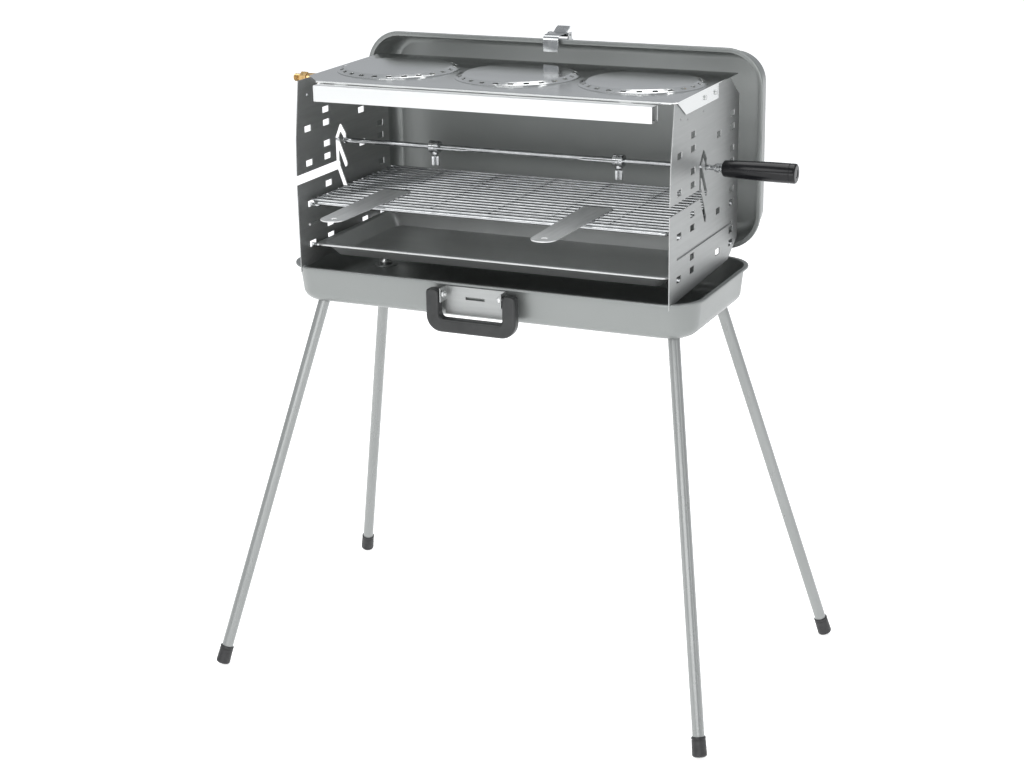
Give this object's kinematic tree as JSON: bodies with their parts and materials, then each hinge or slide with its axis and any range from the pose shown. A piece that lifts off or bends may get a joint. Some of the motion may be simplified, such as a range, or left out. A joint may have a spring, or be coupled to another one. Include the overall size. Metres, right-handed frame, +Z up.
{
  "type": "rotisserie spit roaster",
  "caption": "Portable case grill on four splayed screw-in legs, with hinged lid, slotted side plates, turning spit with forks, wire grate, drip tray and a top gas burner unit.",
  "frame": {"origin": "on the ground, below the middle of the base tub", "axes": "+X towards the spit handle, -Y to the open front, +Z up"},
  "size_m": [0.7427, 0.4406, 0.8148],
  "materials": {
    "shell_paint": "satin grey stove paint",
    "leg_paint": "satin light grey paint",
    "black_plastic": "fine-grained matt",
    "grip_plastic": "glossy black",
    "plate_steel": "rolled galvanised sheet",
    "bright_steel": "polished stainless sheet",
    "rail_steel": "bright satin stainless",
    "tray_steel": "satin grey pressed sheet",
    "chrome_wire": "bright plated",
    "zinc_steel": "zinc plated",
    "brass": "turned brass"
  },
  "bodies": {
    "base": {"base_shell": "shell_paint", "leg_bushes": "zinc_steel", "handle_bracket": "plate_steel", "handle_pivots": "zinc_steel", "base_hinge_leaves": "plate_steel", "hinge_pins": "zinc_steel"},
    "carry_handle": {"carry_handle": "black_plastic"},
    "lid": {"lid_shell": "shell_paint", "lid_hinge_leaves": "plate_steel", "latch_bracket": "chrome_wire", "latch_pin": "chrome_wire"},
    "latch": {"latch_hook": "chrome_wire"},
    "rack": {"side_plate_left": "plate_steel", "side_plate_right": "plate_steel", "grate_rail_left": "chrome_wire", "grate_rail_right": "chrome_wire", "tray_rail_left": "chrome_wire", "tray_rail_right": "chrome_wire"},
    "drip_tray": {"drip_tray": "tray_steel"},
    "grate": {"grate_frame": "chrome_wire", "grate_bars": "chrome_wire", "grate_handle_left": "plate_steel", "grate_handle_right": "plate_steel"},
    "spit": {"spit_rod": "chrome_wire", "spit_ferrule": "chrome_wire", "spit_handle": "grip_plastic"},
    "fork_left": {"fork_left": "chrome_wire"},
    "fork_right": {"fork_right": "chrome_wire"},
    "fork_screw_left": {"fork_screw_left": "chrome_wire"},
    "fork_screw_right": {"fork_screw_right": "chrome_wire"},
    "burner": {"burner_sheet": "bright_steel", "burner_cap_left": "bright_steel", "burner_cap_middle": "bright_steel", "burner_cap_right": "bright_steel", "burner_head_left": "zinc_steel", "burner_head_middle": "zinc_steel", "burner_head_right": "zinc_steel", "gas_manifold": "zinc_steel", "injectors": "brass", "inlet_nipple": "brass", "front_rail": "rail_steel", "rail_spacers": "zinc_steel", "flange_screws": "zinc_steel"},
    "inlet_nut": {"inlet_nut": "brass"},
    "leg_fl": {"leg_tube_fl": "leg_paint", "leg_stud_fl": "zinc_steel", "leg_cap_fl": "black_plastic"},
    "leg_fr": {"leg_tube_fr": "leg_paint", "leg_stud_fr": "zinc_steel", "leg_cap_fr": "black_plastic"},
    "leg_rl": {"leg_tube_rl": "leg_paint", "leg_stud_rl": "zinc_steel", "leg_cap_rl": "black_plastic"},
    "leg_rr": {"leg_tube_rr": "leg_paint", "leg_stud_rr": "zinc_steel", "leg_cap_rr": "black_plastic"}
  },
  "joints": [
    {"name": "leg_fl_turn", "type": "hinge", "parent": "base", "child": "leg_fl", "pos_m": [-0.241, -0.084, 0.487], "axis": [0.2059, 0.2661, 0.9417], "range_deg": [0, 2880]},
    {"name": "leg_fr_turn", "type": "hinge", "parent": "base", "child": "leg_fr", "pos_m": [0.241, -0.084, 0.487], "axis": [-0.1703, 0.2643, 0.9493], "range_deg": [0, 2880]},
    {"name": "leg_rl_turn", "type": "hinge", "parent": "base", "child": "leg_rl", "pos_m": [-0.241, 0.084, 0.487], "axis": [0.2245, -0.2323, 0.9464], "range_deg": [0, 2880]},
    {"name": "leg_rr_turn", "type": "hinge", "parent": "base", "child": "leg_rr", "pos_m": [0.241, 0.084, 0.487], "axis": [-0.2528, -0.1822, 0.9502], "range_deg": [0, 2880]},
    {"name": "carry_handle_swing", "type": "hinge", "parent": "base", "child": "carry_handle", "pos_m": [-0.006, -0.1315, 0.522], "axis": [-1, 0, 0], "range_deg": [0, 110]},
    {"name": "lid_hinge", "type": "hinge", "parent": "base", "child": "lid", "pos_m": [0, 0.1325, 0.538], "axis": [-1, 0, 0], "range_deg": [0, 90]},
    {"name": "latch_hinge", "type": "hinge", "parent": "lid", "child": "latch", "pos_m": [-0.006, 0.151, 0.805], "axis": [-1, 0, 0], "range_deg": [0, 45]},
    {"name": "rack_lift", "type": "slide", "parent": "base", "child": "rack", "axis": [0, 0, 1], "range_m": [0, 0.05]},
    {"name": "tray_slide", "type": "slide", "parent": "rack", "child": "drip_tray", "axis": [0, -1, 0], "range_m": [0, 0.15]},
    {"name": "grate_slide", "type": "slide", "parent": "rack", "child": "grate", "axis": [0, -1, 0], "range_m": [0, 0.15]},
    {"name": "spit_turn", "type": "hinge", "parent": "rack", "child": "spit", "pos_m": [0, 0, 0.677], "axis": [1, 0, 0], "continuous": true},
    {"name": "fork_left_slide", "type": "slide", "parent": "spit", "child": "fork_left", "axis": [1, 0, 0], "range_m": [-0.11, 0.05]},
    {"name": "fork_right_slide", "type": "slide", "parent": "spit", "child": "fork_right", "axis": [1, 0, 0], "range_m": [-0.07, 0.09]},
    {"name": "fork_screw_left_turn", "type": "hinge", "parent": "fork_left", "child": "fork_screw_left", "pos_m": [-0.117, 0, 0.66], "axis": [0, 0, 1], "continuous": true},
    {"name": "fork_screw_right_turn", "type": "hinge", "parent": "fork_right", "child": "fork_screw_right", "pos_m": [0.137, 0, 0.66], "axis": [0, 0, 1], "continuous": true},
    {"name": "burner_lift", "type": "slide", "parent": "rack", "child": "burner", "axis": [0, 0, 1], "range_m": [0, 0.06]},
    {"name": "inlet_nut_turn", "type": "hinge", "parent": "burner", "child": "inlet_nut", "pos_m": [-0.2725, -0.056, 0.7665], "axis": [1, 0, 0], "continuous": true}
  ]
}
